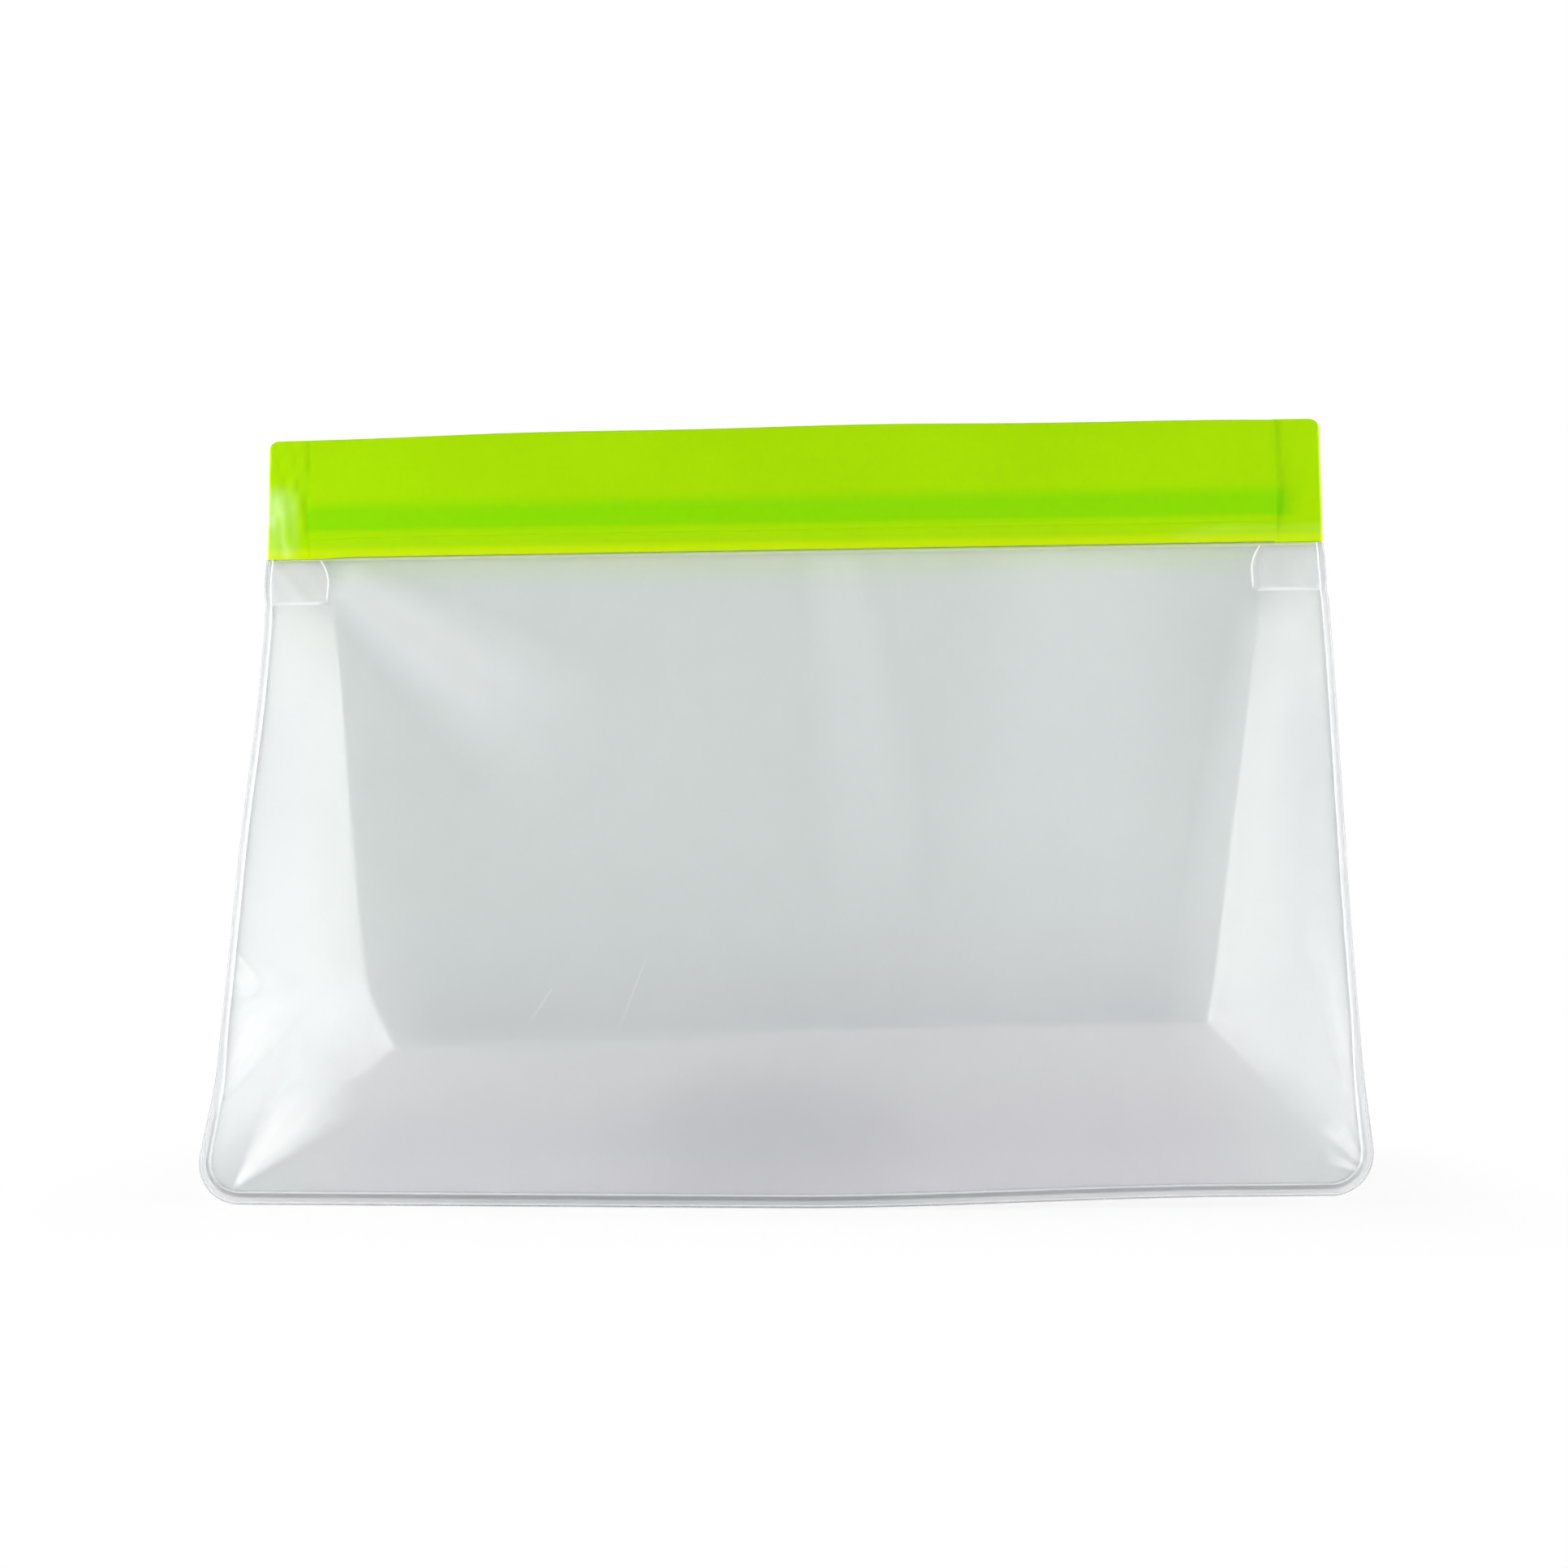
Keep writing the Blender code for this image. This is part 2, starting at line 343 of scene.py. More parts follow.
def mixed(share, first, second):
    """Two shaders mixed, with a value as the share of the second."""
    return share.node("ShaderNodeMixShader", inputs={0: share, 1: first, 2: second})


def output(surface):
    """Ends a material's tree."""
    surface.node("ShaderNodeOutputMaterial", inputs={"Surface": surface})


def seen(start):
    """1 for rays that show a thing straight, in a gloss or through film, and 0 for those that light."""
    path = start.node("ShaderNodeLightPath").socket.node
    share = Value(start.tree, path.outputs["Is Camera Ray"])
    for ray in ("Is Glossy Ray", "Is Transmission Ray"):
        share = share.most(Value(start.tree, path.outputs[ray]))
    return share


def streak(x, z, start, end, width, spread):
    """A mark that fans out from start towards end, both (x, z) in millimetres."""
    run, rise = (end[0] - start[0]) * MM, (end[1] - start[1]) * MM
    length = sqrt(run * run + rise * rise)
    ahead = ((x - start[0] * MM) * run + (z - start[1] * MM) * rise) / length**2
    aside = ((x - start[0] * MM) * rise - (z - start[1] * MM) * run) / length
    reach = ahead.most(0.0) * spread * MM + width * MM
    core = 1 - (aside.size() / reach).eased(0.15, 1)
    return core * ahead.eased(-0.02, 0.06) * (1 - ahead.eased(0.35, 1))


def weld_marks_and_highlights(x, z):
    """Where the front film shows white weld lines, scratches and painted highlights, and where it is
    fused clear.
    """
    drop = FOLD_Z - z
    bend = (1 - drop / (5 * MM)).most(0.0)
    inner = x.size() - (ZIP_HALF - 13.2 * MM) - bend * bend * 1.7 * MM
    clear = inner.eased(-0.2 * MM, 0.2 * MM) * (1 - drop.eased(PATCH_DROP - 0.5 * MM, PATCH_DROP))
    # White weld lines, partly a painted highlight along their ridges
    upright = (1 - inner.size().eased(0.06 * MM, 0.32 * MM)) * (1 - drop.eased(7.2 * MM, 9 * MM))
    below = (drop - PATCH_DROP + 0.3 * MM).size()
    level = (1 - below.eased(0.1 * MM, 0.5 * MM)) * inner.eased(0, 2 * MM)
    white = (upright * 0.6).most(level * 0.32)
    for start, end, width, spread, strength in FILM_MARKS_AND_HIGHLIGHTS:
        white = white.most(streak(x, z, start, end, width, spread) * strength)
    return white, clear


def film_material(name, tone, clear, milk, low=None, fused=False, folded=False):
    """Frosted film: blurred see-through plastic with some light scattered in it.

    clear is the share that lets light through and milk the share that scatters it. low is a painted
    shade of the lower part, with the height where it begins and the two between which it fades out
    upwards.
    """
    material, start, place = new_material(name)
    x, _, z = split(place)
    cloud = noise(place, 30.0, 3.0)
    soft = noise(place, 14.0, 1.0, (1, 1, 0.7))
    tint = soft.eased(0.3, 0.7).colour(opaque(tone), opaque([c**0.88 for c in tone]))
    layers = []
    if low:
        shade, foot, full, top = low
        middle = 1 - x.size().eased(0.072, 0.092)
        mottle = soft.eased(0.35, 0.65) * 0.4 + 0.6
        rise = z.eased(foot - 5 * MM, foot)
        layers.append((rise * (1 - z.eased(full, top)) * middle * mottle, shade))
    # Painted light: a green glow from the zip on the film just below it
    painted_zip_glow = z.eased(FOLD_Z - 7 * MM, FOLD_Z) * (0.3 - x.size().eased(0.085, 0.1) * 0.22)
    layers.append((painted_zip_glow, (0.80, 0.90, 0.60)))
    grain = noise(place, 900.0, 2.0)
    share = cloud * 0.06 + milk - 0.03
    if folded:
        # Paler along the crease and at the top as painted light, greyer in the corners and in the middle
        # of the base as painted shade
        ridge = start.node("ShaderNodeAttribute", {"attribute_name": "ridge"}, output=2)
        side = z.eased(0.03, 0.045)
        base_fold = ridge.eased(0.35, 1.0) * (1 - side)
        painted_light = (ridge.eased(0.35, 0.9) * side).most(base_fold * 0.8).most(z.eased(0.08, 0.115))
        layers.append((painted_light, (0.99, 0.985, 0.98)))
        # Painted shade in the bottom corners
        corner = (1 - z.eased(0.006, 0.032)) * (x * -1).eased(0.076, 0.096)
        corner = corner.most((1 - z.eased(0.003, 0.018)) * x.eased(0.076, 0.096))
        layers.append((corner * 0.4, (0.86, 0.84, 0.87)))
        # Painted shade in the middle of the base
        across, up = (x + 2 * MM) / (34 * MM), (z - 11 * MM) / (14 * MM)
        painted_base_shade = 1 - (across * across + up * up).eased(0.0, 1.0)
        layers.append((painted_base_shade * 0.6, (0.78, 0.775, 0.785)))
        left_side = (x * -1).eased(0.05, 0.07) * side * (1 - z.eased(0.07, 0.1))
        share = share * (1 - ridge.eased(0.5, 1.0) * left_side * 0.75)
        share = share + z.eased(0.07, 0.112) * 0.25 + base_fold * 0.08
    if fused:
        white, fused_clear = weld_marks_and_highlights(x, z)
        share = share * (1 - fused_clear * 0.4)
        layers.append((fused_clear * 0.8, (0.98, 0.99, 0.985)))
    # A little sharper to look through on the right
    sharp = x.eased(-0.085, -0.02) * 0.045
    glow = translucent(start, tone)
    for mask, colour in layers:
        tint = mask.colour(tint, opaque(colour))
        glow = mixed(mask, glow, translucent(start, colour))
    clear_film = shader(
        start,
        base_color=tint,
        roughness=cloud * 0.02 + 0.24 - sharp,
        ior=1.25,
        transmission_weight=clear,
        coat_weight=0.15,
        coat_roughness=0.12,
        normal=bump(grain, 0.02 * MM, 0.4),
    )
    surface = mixed(share, clear_film, glow)
    if fused:
        # Painted light: pale green where the film is tucked under the zip and shaded by it
        tucked = z.eased(FOLD_Z + 0.1 * MM, FOLD_Z + 0.7 * MM)
        white = white.most(tucked * 0.9)
        pale = tucked.colour((0.97, 0.98, 0.98, 1.0), (0.62, 0.76, 0.36, 1.0))
        # White for the weld lines, scratches and painted highlights, pale green under the zip
        stretched = shader(start, base_color=pale, roughness=0.3, specular_ior_level=0.3)
        surface = mixed(white, surface, stretched)
    output(surface)
    return material


def weld_material(name, tone, ripples):
    """Fused film: clear and glossy, whiter where it is beaded, partly as a painted highlight, and darker
    where bead is below 0.

    ripples is the strength of its unevenness.
    """
    material, start, place = new_material(name)
    ripple = noise(place, 140.0, 2.0)
    bead = start.node("ShaderNodeAttribute", {"attribute_name": "bead"}, output=2)
    band = ripple.eased(0.3, 0.7).colour(opaque(tone), opaque([c**0.8 for c in tone]))
    white = (0.97, 0.98, 0.99, 1.0)
    x, _, z = split(place)
    middle = x.eased(-0.08, -0.05) * (1 - x.eased(0.01, 0.04))
    level = z - x.eased(0.0, 0.079) * BASE_LIFT
    foot = (1 - level.eased(1.9 * MM, 2.6 * MM)) * (1 - x.size().eased(0.094, 0.102))
    dark = (foot * (middle * 0.3 + 0.3)).most((bead * -4).eased(0.2, 1) * 0.55)
    band = dark.colour(band, opaque([c * 0.55 for c in tone]))
    clear_film = shader(
        start,
        base_color=bead.colour(band, white),
        roughness=ripple * 0.12 + 0.1,
        ior=1.3,
        transmission_weight=0.8,
        coat_weight=0.4,
        coat_roughness=0.06,
        normal=bump(ripple, 0.2 * MM, ripples),
    )
    surface = mixed((bead * 0.6 + 0.15).most(0.0), clear_film, translucent(start, white[:3]))
    # Painted highlight: a white line along the bead at the bottom of the base rim
    painted_bead_highlight = shader(start, base_color=white, roughness=0.3, specular_ior_level=0.3)
    line = bead.eased(0.5, 0.9) * (1 - level.eased(2.6 * MM, 3.6 * MM)) * 0.4
    output(mixed(line, surface, painted_bead_highlight))
    return material


def zip_material(name, colours, crushed=False):
    """Lime green strip, deeper over the press tracks and yellower at its thin lower edge."""
    material, start, place = new_material(name)
    x, _, z = split(place)
    up = z - FOLD_Z
    cloud = noise(place, 25.0, 2.0)
    deeper = opaque([c * 0.96 for c in colours.zip])
    base = cloud.eased(0.3, 0.7).colour(opaque(colours.zip), deeper)
    band = up.eased(5.6 * MM, 7.0 * MM) * (1 - up.eased(9.8 * MM, 13.4 * MM))
    ends = x.eased(-98 * MM, -95.5 * MM) * (1 - x.eased(97.5 * MM, 102.5 * MM))
    base = (band * ends).colour(base, opaque(colours.track))
    low = 1 - up.eased(1.6 * MM, 3.6 * MM)
    base = low.colour(base, opaque(colours.edge))
    # Painted highlight: paler green along the lower part of the strip
    gloss = noise(place, 45.0, 2.0, (0.3, 1, 2.5)).eased(0.5, 0.7) * (1 - up.eased(3.5 * MM, 6 * MM))
    painted_shine = gloss * x.eased(-0.01, 0.03) * (1 - x.eased(0.07, 0.1) * 0.7)
    base = (painted_shine * 0.6).colour(base, (0.6, 0.86, 0.16, 1.0))
    if crushed:
        # Whitish crushed patches at the left end, partly a painted highlight
        crush_and_highlight = noise(place, 240.0, 2.0, (1, 1, 0.35)).eased(0.38, 0.66) * 0.5 + 0.12
        left = 1 - x.eased(-103.5 * MM, -97.5 * MM)
        left = left * (1 - up.eased(10 * MM, 17 * MM)) * up.eased(0, 2 * MM)
        base = (crush_and_highlight * left).colour(base, (0.72, 0.95, 0.42, 1.0))
        relief, depth = noise(place, 210.0, 3.0, (1, 1, 0.45)), 0.35 * MM
        roughness = cloud * 0.1 + 0.26
    else:
        relief, depth = noise(place, 60.0, 3.0, (0.05, 1, 14)), 0.05 * MM
        roughness = relief * 0.15 + 0.28
    surface = shader(
        start,
        base_color=base,
        roughness=roughness,
        specular_ior_level=0.08,
        normal=bump(relief, depth, 0.5),
    )
    output(surface)
    return material


def fresh():
    """Leaves nothing selected, so that the next tool acts on its own piece."""
    bpy.ops.object.select_all(action="DESELECT")


def placed(obj, name, place):
    """Names a piece and moves each of its points to place(point)."""
    obj.name = obj.data.name = name
    for vertex in obj.data.vertices:
        vertex.co = place(vertex.co)
    obj.data.update()
    return obj


def sheet(name, columns, rows, place):
    """A sheet of quads; place turns shares across and down, both -1 to 1, into a point."""
    fresh()
    bpy.ops.mesh.primitive_grid_add(x_subdivisions=columns, y_subdivisions=rows, size=2)
    return placed(bpy.context.object, name, lambda co: place(co.x, co.y))


def tube(name, sides, cuts, place):
    """A closed tube; place turns a share along it, 0 to 1, and a side's number into a point.

    It is cut into as many lengths as the product of the cuts, in one pass for each.
    """
    fresh()
    bpy.ops.mesh.primitive_cylinder_add(vertices=sides, radius=1, depth=2, end_fill_type="NGON")
    obj = bpy.context.object
    for lengths in cuts:
        bpy.ops.object.mode_set(mode="EDIT")
        bpy.ops.mesh.select_mode(type="EDGE")
        bpy.ops.mesh.select_all(action="DESELECT")
        bpy.ops.object.mode_set(mode="OBJECT")
        points = obj.data.vertices
        for edge in obj.data.edges:
            edge.select = abs(points[edge.vertices[0]].co.z - points[edge.vertices[1]].co.z) > 1e-4
        bpy.ops.object.mode_set(mode="EDIT")
        bpy.ops.mesh.subdivide(number_cuts=lengths - 1)
        bpy.ops.object.mode_set(mode="OBJECT")

    def lay(co):
        side = round(atan2(co.x, co.y) / tau * sides) % sides
        return place((co.z + 1) / 2, side)

    return placed(obj, name, lay)


def apply(obj, kind, **settings):
    """Gives a piece a modifier and applies it."""
    bpy.context.view_layer.objects.active = obj
    obj.select_set(True)
    modifier = obj.modifiers.new(kind.title(), kind)
    for name, value in settings.items():
        setattr(modifier, name, value)
    bpy.ops.object.modifier_apply(modifier=modifier.name)


def outward(obj):
    """Turns all faces of a closed piece outwards."""
    fresh()
    obj.select_set(True)
    bpy.context.view_layer.objects.active = obj
    bpy.ops.object.mode_set(mode="EDIT")
    bpy.ops.mesh.select_all(action="SELECT")
    bpy.ops.mesh.normals_make_consistent(inside=False)
    bpy.ops.object.mode_set(mode="OBJECT")


def shaded(obj, angle=40):
    """Shades a piece smooth, up to an angle in degrees between faces."""
    fresh()
    obj.select_set(True)
    bpy.context.view_layer.objects.active = obj
    bpy.ops.object.shade_smooth_by_angle(angle=radians(angle))


def dress(obj, material, nodes):
    """Gives a piece its material and hides the CAD nodes that it stands for."""
    obj.data.materials.clear()
    obj.data.materials.append(material)
    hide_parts(*nodes)


def keep_share(obj, name, shares):
    """Keeps one number per point on the mesh, through the modifiers that follow."""
    attribute = obj.data.attributes.new(name, "FLOAT", "POINT")
    attribute.data.foreach_set("value", shares)


def bend_by(obj, name):
    """Drops the shares kept under that name and bakes the piece's placing into its mesh."""
    obj.data.attributes.remove(obj.data.attributes[name])
    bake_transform(obj)


def lip_share(x):
    """How far a point across the mouth follows the opening: 0 at the welded ends, 1 in the middle."""
    return max(1 - (x / STRIP_HALF) ** 2, 0.0) ** 1.5


class Wall:
    """The shape of one wall: across, drop down the film and outward distance to a point."""

    def __init__(self, sizes, facing):
        self.sizes = sizes
        self.facing = facing

    def half(self, drop, hand=0):
        """Half the width to the outer edge of the rim, on the right (1), the left (-1) or both."""
        share = drop / WALL_LENGTH
        spread = 0.2 * MM * smooth(share, 0, 0.5 - 0.3 * hand)
        kick = self.sizes.corner_kick * (1 - 0.42 * hand)
        reach = self.sizes.zip_reach * max(hand, 0) * (1 - smooth(share, 0, 0.7))
        # A slight waist in the left edge, below the zip
        waist = 0.9 * MM * max(-hand, 0)
        waist *= smooth(share, 0.02, 0.12) * (1 - smooth(share, 0.2, 0.5))
        return ZIP_HALF + spread + reach - waist + kick * smooth(share, 0.8, 0.97)

    def edge(self, drop, inset, hand=0):
        """Half the width to a line inside the outer edge, round the bottom corners too."""
        radius = self.sizes.corner_radius
        past = drop - (WALL_LENGTH - radius)
        if past <= 0:
            return self.half(drop, hand) - inset
        return self.half(drop, hand) - radius + sqrt(max((radius - inset) ** 2 - past**2, 0.0))

    def push(self, x, drop):
        """How far the film stands out from the flat wall."""
        share = min(max(drop / WALL_LENGTH, 0.0), 1.0)
        across = min(abs(x) / self.half(drop), 1.0)
        belly = self.sizes.belly * sin(pi * share) * (1 - across**2)
        bow = self.sizes.base_bow * (1 - across**2)
        bow += self.sizes.corner_push[0 if x < 0 else 1] * across**2
        wave = 0.5 * MM * sin(x * 70 + share * 3) * sin(pi * share) * (1 - across**4)
        tuck = 0.6 * MM * (1 - smooth(drop, FILM_TOP, 0.2 * MM))
        return belly + bow * share**2 + wave - tuck

    def point(self, x, drop, out=0.0):
        """The point at a place across, a drop down the film and a distance out of it."""
        share = drop / WALL_LENGTH
        across = min(abs(x) / self.half(drop), 1.0)
        y = WALL_OFFSET * cos(LEAN) + drop * sin(LEAN) + self.push(x, drop) + out * cos(LEAN)
        lift = (BASE_LIFT if x > 0 else 0.0) * smooth(across, 0, 0.75) * max(share, 0.0) ** 3
        z = FOLD_Z + WALL_OFFSET * sin(LEAN) - drop * cos(LEAN) + lift + out * sin(LEAN)
        return Vector((x, self.facing * y, z))

    def rim_path(self, steps, top, inset=0.0):
        """Points (x, drop) down one side, round the corners, along the base and up again."""
        radius = self.sizes.corner_radius
        foot = WALL_LENGTH - radius
        side_steps = steps // 3
        corner_steps = steps // 9
        base_steps = steps // 3
        sides = {}
        for hand in (-1, 1):
            points = []
            for k in range(side_steps):
                drop = lerp(top, foot, k / side_steps)
                points.append((hand * self.edge(drop, inset, hand), drop))
            for k in range(corner_steps):
                turn = pi / 2 * k / corner_steps
                drop = foot + (radius - inset) * sin(turn)
                reach = self.half(drop, hand) - radius + (radius - inset) * cos(turn)
                points.append((hand * reach, drop))
            sides[hand] = points
        low = WALL_LENGTH - inset
        left, right = (hand * (self.half(low, hand) - radius) for hand in (-1, 1))
        base = [(lerp(left, right, k / base_steps), low) for k in range(base_steps + 1)]
        return sides[-1] + base + sides[1][::-1]


def film_sheet(wall, name, thickness):
    """One film wall, with the share by which each point follows the opening mouth."""
    inset = wall.sizes.rim * FILM_INSET

    def place(across, down):
        share = (1 - down) / 2
        share = lerp(share, sin(share * pi / 2), 0.6)
        drop = lerp(FILM_TOP, WALL_LENGTH - inset, share)
        bare = 1 - smooth(drop, PATCH_DROP - 2 * MM, PATCH_DROP + 1 * MM)
        edge = wall.edge(max(drop, 0), lerp(inset, 0.3 * MM, bare), 1 if across > 0 else -1)
        return wall.point(across * edge, drop)

    obj = sheet(name, 160, 100, place)
    keep_share(obj, "lip_share", [lip_share(v.co.x) for v in obj.data.vertices])
    apply(obj, "SOLIDIFY", thickness=thickness, offset=0.0)
    outward(obj)
    shaded(obj)
    return obj


class BAG_OT_front_film(Operator):
    """Builds the front film wall"""

    bl_idname = "bag.front_film"
    bl_label = "Front film"

    def execute(self, context):
        sizes = context.scene.bag_sizes
        obj = film_sheet(Wall(sizes, -1), "front_film", sizes.film)
        # Painted shade: a pinker, less green tint low on the wall
        low = ((0.914, 0.919, 0.936), 0, 0.02, 0.055)
        tone = context.scene.bag_colours.film
        material = film_material("front_frosted", tone, 0.9, 0.2, low, fused=True)
        dress(obj, material, ["front_panel"])
        bend_by(obj, "lip_share")
        return {"FINISHED"}


class BAG_OT_back_film(Operator):
    """Builds the back film wall"""

    bl_idname = "bag.back_film"
    bl_label = "Back film"

    def execute(self, context):
        sizes = context.scene.bag_sizes
        obj = film_sheet(Wall(sizes, 1), "back_film", sizes.film)
        obj.data.attributes.remove(obj.data.attributes["lip_share"])
        # Painted shade: a darker copy of the film for the back wall, with a darker band just above the
        # base crease
        low = ((0.635, 0.64, 0.66), 0.0275, 0.028, 0.052)
        material = film_material("back_frosted", (0.745, 0.762, 0.757), 0.9, 0.5, low)
        dress(obj, material, ["back_panel"])
        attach(obj, "back_wall")
        return {"FINISHED"}


class BAG_OT_gusset_film(Operator):
    """Builds the gusset film, folded inwards along its middle and round the bottom corners"""

    bl_idname = "bag.gusset_film"
    bl_label = "Gusset film"

    def execute(self, context):
        sizes = context.scene.bag_sizes
        front, back = Wall(sizes, -1), Wall(sizes, 1)
        steps = 180
        path = front.rim_path(steps, PATCH_DROP, sizes.rim * FILM_INSET)
        count = len(path)
        # The path turns along the base in the middle of each bottom corner
        foot = WALL_LENGTH - sizes.corner_radius
        first = next(k for k, (_, drop) in enumerate(path) if drop > foot)
        first += steps // 18
        # Places (x, z) of the crease in millimetres, down each side and along the base
        left = [(-91, 114.4), (-88.2, 86), (-85.4, 58), (-82.8, 37), (-77, 25.9)]
        right = [(93.8, 114.4), (89.8, 86), (85.4, 58), (83, 42), (80.9, 31.2)]
        base = [left[-1], (-35, 27.7), (3, 30.1), right[-1]]

        def on_chain(points, share):
            """The place a share of the way along a chain of points."""
            reach = share * (len(points) - 1)
            low = min(int(reach), len(points) - 2)
            start, end = Vector(points[low]), Vector(points[low + 1])
            return start.lerp(end, reach - low)

        def crease(share):
            """The crease, for a place along the rim path."""
            place = share * (count - 1)
            last = count - 1 - first
            if place <= first:
                point = on_chain(left, place / first)
            elif place >= last:
                point = on_chain(right, (count - 1 - place) / first)
            else:
                point = on_chain(base, (place - first) / (last - first))
            return Vector((point.x * MM, 0, point.y * MM))

        def edge_point(wall, share):
            """The point of a wall's rim, for a place along the rim path."""
            place = share * (count - 1)
            low = min(int(place), count - 2)
            (x0, d0), (x1, d1) = path[low], path[low + 1]
            return wall.point(lerp(x0, x1, place - low), lerp(d0, d1, place - low))

        def place(along, over):
            share = (along + 1) / 2
            ridge = crease(share)
            wall = front if over < 0 else back
            rim = edge_point(wall, share)
            return ridge.lerp(rim, abs(over))

        obj = sheet("gusset_film", count, 25, place)
        uv = obj.data.uv_layers[0].data
        across = [0.0] * len(obj.data.vertices)
        for loop in obj.data.loops:
            across[loop.vertex_index] = 1 - uv[loop.index].uv.y
        keep_share(obj, "ridge", [1 - abs(share * 2 - 1) for share in across])
        # Low down a half's share leans further towards its own wall
        sooner = 0.136
        for vertex in obj.data.vertices:
            over = across[vertex.index] * 2 - 1
            low = 1 - smooth(vertex.co.z, 25 * MM, 70 * MM)
            across[vertex.index] += sooner * low * over * (1 - abs(over))
        keep_share(obj, "fold_share", across)
        apply(obj, "SOLIDIFY", thickness=sizes.film, offset=0.0)
        outward(obj)
        shaded(obj, 25)
        nodes = [f"{w}_{s}_gusset" for w in ("front", "back") for s in ("left", "right", "base")]
        # Painted shade: the gusset darkens towards the bottom of the base, in the middle
        low = ((0.865, 0.85, 0.875), 0, 0.004, 0.026)
        material = film_material("gusset_frosted", (0.93, 0.91, 0.92), 0.6, 0.45, low, folded=True)
        dress(obj, material, nodes)
        bend_by(obj, "fold_share")
        return {"FINISHED"}


class BAG_OT_weld_rims(Operator):
    """Builds the welded rims round the sides and the base of both walls"""

    bl_idname = "bag.weld_rims"
    bl_label = "Weld rims"

    def execute(self, context):
        sizes = context.scene.bag_sizes
        material = weld_material("fused_rim", context.scene.bag_colours.weld, 0.2)
        half = sizes.rim_thickness / 2
        width = sizes.rim
        # Section of a rim: share of its width from the inner edge, share of its thickness, bead
        upper = [
            (0.0, 0.4, 0.2), (0.05, 1.1, 0.8), (0.1, 1.5, 1.0), (0.15, 1.3, 0.8), (0.2, 0.95, 0.1),
            (0.5, 0.85, 0.0), (0.76, 0.85, 0.0), (0.8, 1.1, 0.9), (0.86, 1.1, 0.9), (0.9, 0.85, -0.2),
            (1.0, 0.25, -0.25),
        ]
        section = [(reach, half * out, bead) for reach, out, bead in upper]
        section += [(reach, -half * min(out, 1.2), bead) for reach, out, bead in reversed(upper)]
        for name, facing, body in (("front", -1, "front_rim"), ("back", 1, "back_wall")):
            wall = Wall(sizes, facing)
            inner = wall.rim_path(180, -0.5 * MM, width)
            outer = wall.rim_path(180, -0.5 * MM, 0.0)
            last = len(outer) - 1
            beads = []

            def place(share, side):
                ring = round(share * last)
                reach, out, bead = section[side]
                beads.append(bead)
                # Narrower up the sides than along the base, and pinched where the patches end
                slim = lerp(0.64, 1, smooth(outer[ring][1], 0.72 * WALL_LENGTH, 0.95 * WALL_LENGTH))
                reach = 1 - (1 - reach) * slim
                x = lerp(inner[ring][0], outer[ring][0], reach)
                drop = lerp(inner[ring][1], outer[ring][1], reach)
                pinch = 0.35 * MM * max(1 - abs(drop - PATCH_DROP) / (1.2 * MM), 0) ** 2
                x -= pinch * reach * (1 if x > 0 else -1)
                return wall.point(x, drop, out)

            obj = tube(f"{name}_rim", len(section), (20, 11), place)
            keep_share(obj, "bead", beads)
            outward(obj)
            shaded(obj, 60)
            dress(obj, material, [f"{name}_{s}_seam" for s in ("left", "right", "base")])
            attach(obj, body)
        return {"FINISHED"}


class BAG_OT_gusset_patches(Operator):
    """Builds the fused patches that close the tops of the side gussets"""

    bl_idname = "bag.gusset_patches"
    bl_label = "Gusset patches"

    def execute(self, context):
        sizes = context.scene.bag_sizes
        material = weld_material("fused_patch", (0.985, 0.99, 0.99), 0.1)
        for name in ("left", "right"):
            low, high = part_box(f"{name}_gusset_patch")
            beads = []

            def place(across, down):
                drop = lerp(-0.4 * MM, PATCH_DROP, (1 - down) / 2)
                x = lerp(low.x, high.x, (across + 1) / 2) + (sizes.zip_reach if name == "right" else 0)
                beads.append(smooth(max(abs(across), -down), 0.86, 0.95))
                sag = 0.15 * MM * sin(across * 7 + down * 4)
                return Vector((x, drop * tan(LEAN) + sag, FOLD_Z - drop))

            obj = sheet(f"{name}_patch", 40, 30, place)
            keep_share(obj, "bead", beads)
            apply(obj, "SOLIDIFY", thickness=0.7 * MM, offset=0.0)
            outward(obj)
            shaded(obj)
            dress(obj, material, [f"{name}_gusset_patch"])
            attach(obj, "back_wall")
        return {"FINISHED"}


